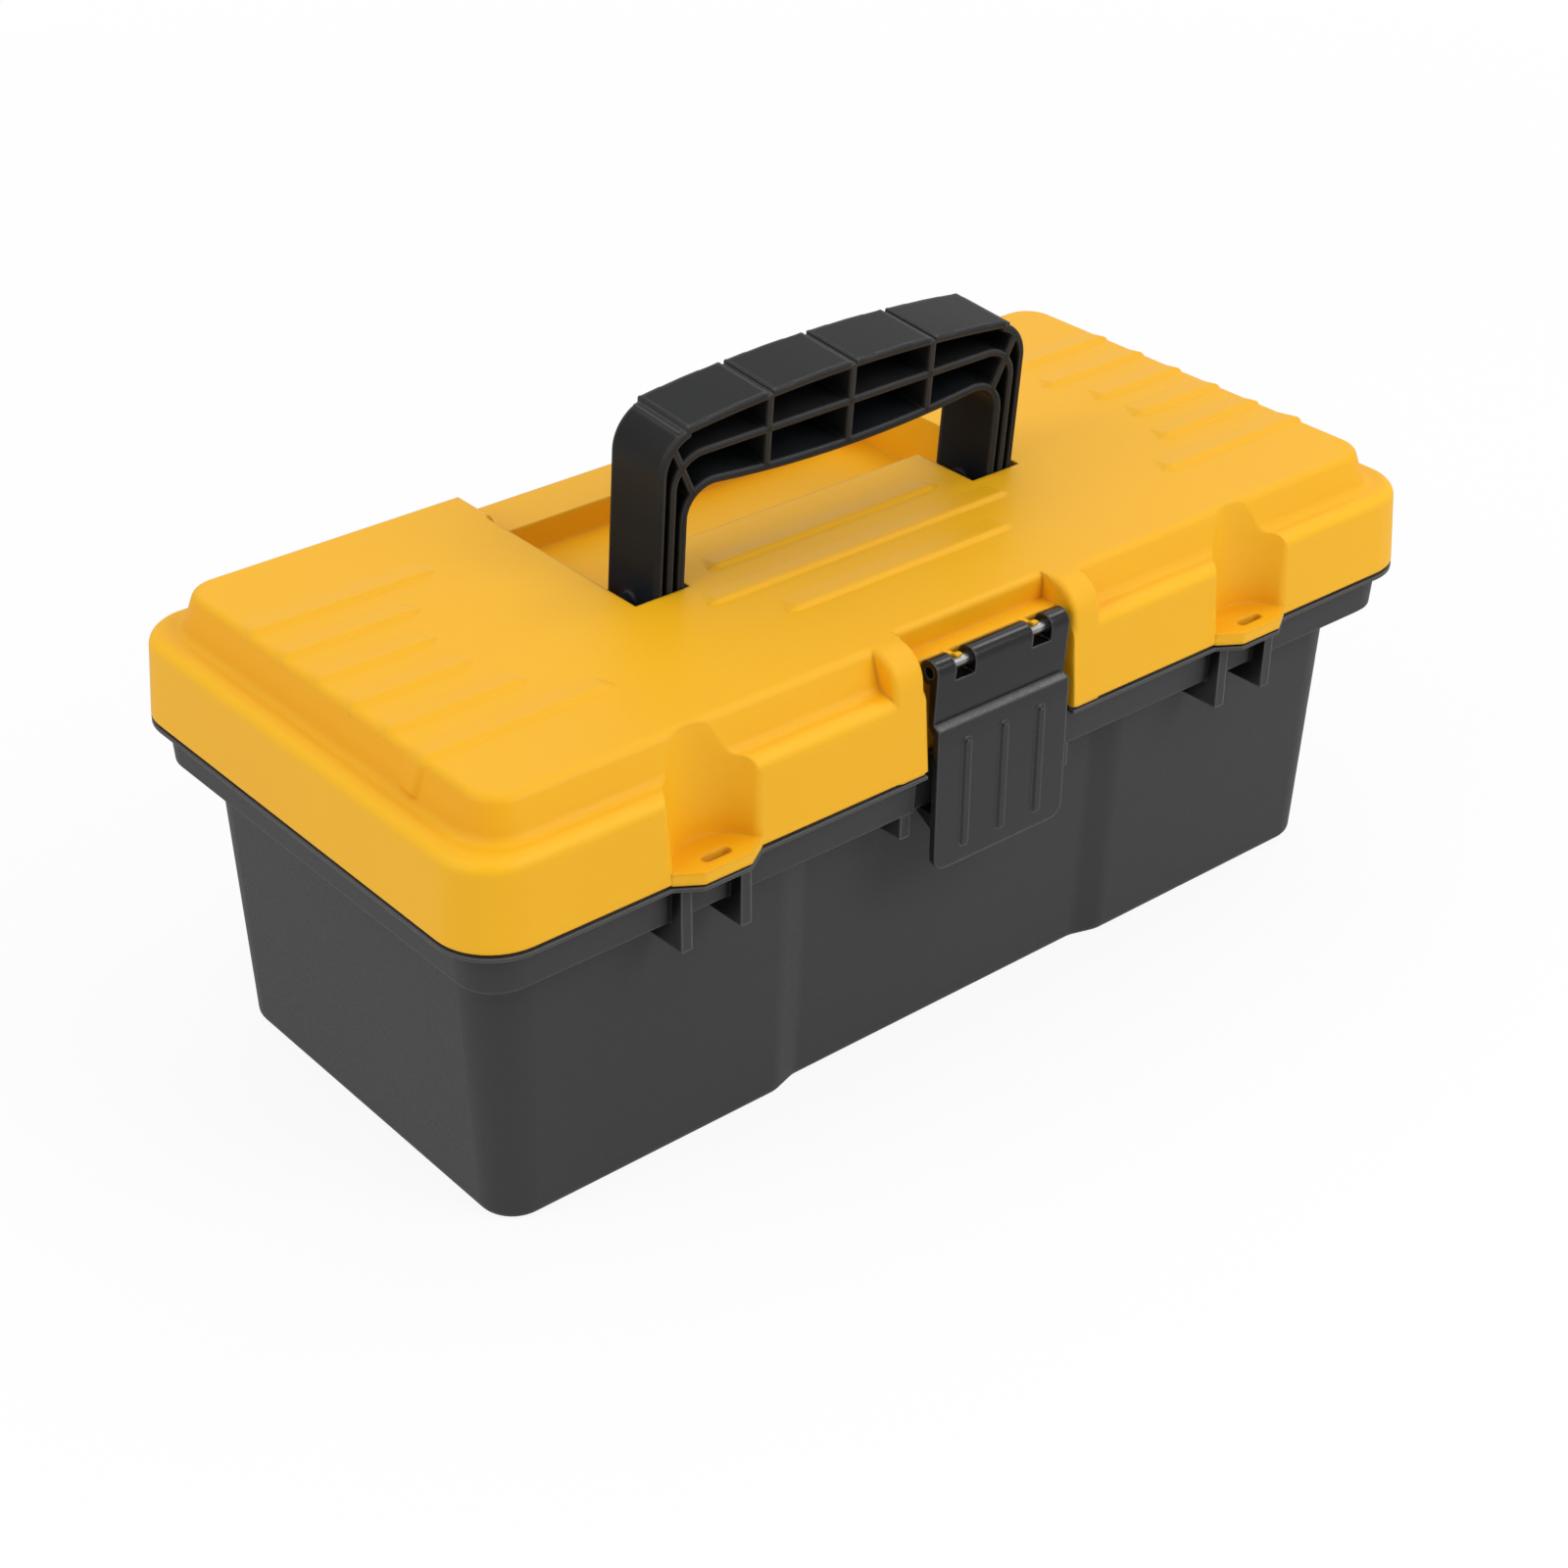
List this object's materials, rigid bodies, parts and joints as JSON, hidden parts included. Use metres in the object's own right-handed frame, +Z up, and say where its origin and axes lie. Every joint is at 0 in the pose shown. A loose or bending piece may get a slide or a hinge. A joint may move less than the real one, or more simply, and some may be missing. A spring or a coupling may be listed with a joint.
{
  "type": "toolbox with tray",
  "caption": "Moulded plastic toolbox with a hinged lid, folding carrying handle, front latch, padlock eyes and a lift-out tray",
  "frame": {"origin": "On the surface that the box stands on, under the middle of its base.", "axes": "+X along the length of the box, -Y towards the latch, +Z up."},
  "size_m": [0.32, 0.1687, 0.1765],
  "materials": {
    "tub_plastic": "charcoal polypropylene, fine moulded texture",
    "lid_plastic": "amber yellow polypropylene, satin",
    "tray_plastic": "charcoal polypropylene, satin",
    "handle_plastic": "near-black polypropylene, satin",
    "latch_plastic": "near-black polypropylene, satin",
    "pin_steel": "bright drawn steel wire"
  },
  "bodies": {
    "base": {"tub": "tub_plastic", "hinge_pin_left": "pin_steel", "hinge_pin_right": "pin_steel"},
    "cover": {"lid": "lid_plastic", "latch_pin": "pin_steel"},
    "carrier": {"handle": "handle_plastic"},
    "clasp": {"latch": "latch_plastic"},
    "insert": {"tray": "tray_plastic"}
  },
  "joints": [
    {"name": "lid_hinge", "type": "hinge", "parent": "base", "child": "cover", "pos_m": [0, 0.0825, 0.093], "axis": [-1, 0, 0], "range_deg": [0, 105]},
    {"name": "handle_fold", "type": "hinge", "parent": "cover", "child": "carrier", "pos_m": [0.0022, -0.0025, 0.1215], "axis": [-1, 0, 0], "range_deg": [0, 94]},
    {"name": "latch_flip", "type": "hinge", "parent": "cover", "child": "clasp", "pos_m": [0, -0.074, 0.1185], "axis": [-1, 0, 0], "range_deg": [0, 110]},
    {"name": "tray_lift", "type": "slide", "parent": "base", "child": "insert", "axis": [0, 0, 1], "range_m": [0, 0.006]}
  ]
}
